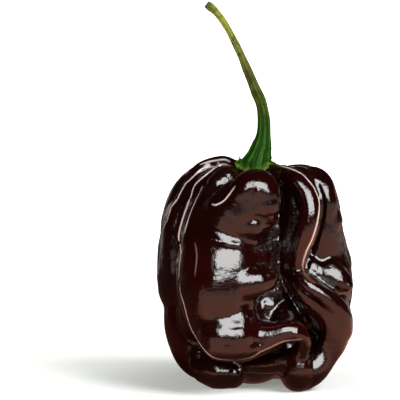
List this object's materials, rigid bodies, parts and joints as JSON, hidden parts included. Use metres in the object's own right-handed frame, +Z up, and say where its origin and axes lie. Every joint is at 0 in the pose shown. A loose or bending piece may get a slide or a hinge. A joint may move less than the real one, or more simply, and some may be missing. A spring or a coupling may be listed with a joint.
{
  "type": "chocolate habanero pepper",
  "caption": "Folded, lobed brown chili pod standing upright on its blunt lobe ends, with a bent green stem and small toothed calyx.",
  "frame": {"origin": "middle of the whole pepper's box, on the surface it stands on", "axes": "+Z up along the stem, -Y towards the folded front lobe, +X to the right as seen from the front"},
  "size_m": [0.04, 0.0378, 0.0786],
  "materials": {
    "pod_skin": "smooth wet-looking gloss, dark chocolate red-brown",
    "stem_green": "satin, leaf green at the calyx to olive at the cut tip"
  },
  "bodies": {
    "root": {"pod": "pod_skin", "stem": "stem_green"}
  },
  "joints": []
}
